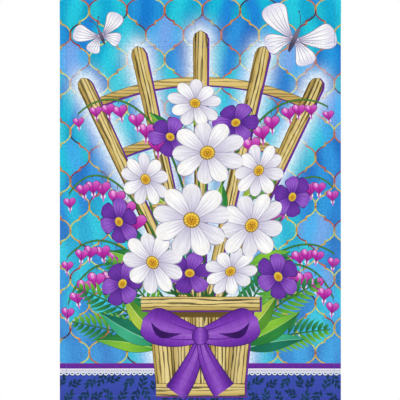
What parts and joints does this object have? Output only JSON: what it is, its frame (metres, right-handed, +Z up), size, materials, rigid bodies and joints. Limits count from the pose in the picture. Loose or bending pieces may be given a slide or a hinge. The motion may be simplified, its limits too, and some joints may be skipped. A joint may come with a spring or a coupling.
{
  "type": "garden flag",
  "caption": "Upright rectangular cloth flag with hemmed sides and a sleeve turned to the back along its top, which slides on the arm of a garden flag stand.",
  "frame": {"origin": "on the axis of the stand's arm in the sleeve, half way along the flag's width, 7 mm below the top of the fold", "axes": "+X along the sleeve, +Y away from the printed face, +Z up"},
  "size_m": [0.3174, 0.014, 0.4572],
  "materials": {
    "flag_panel": "printed polyester weave, matt",
    "pole_sleeve": "printed polyester weave, matt"
  },
  "bodies": {
    "root": {"flag_panel": "flag_panel", "pole_sleeve": "pole_sleeve"}
  },
  "joints": []
}
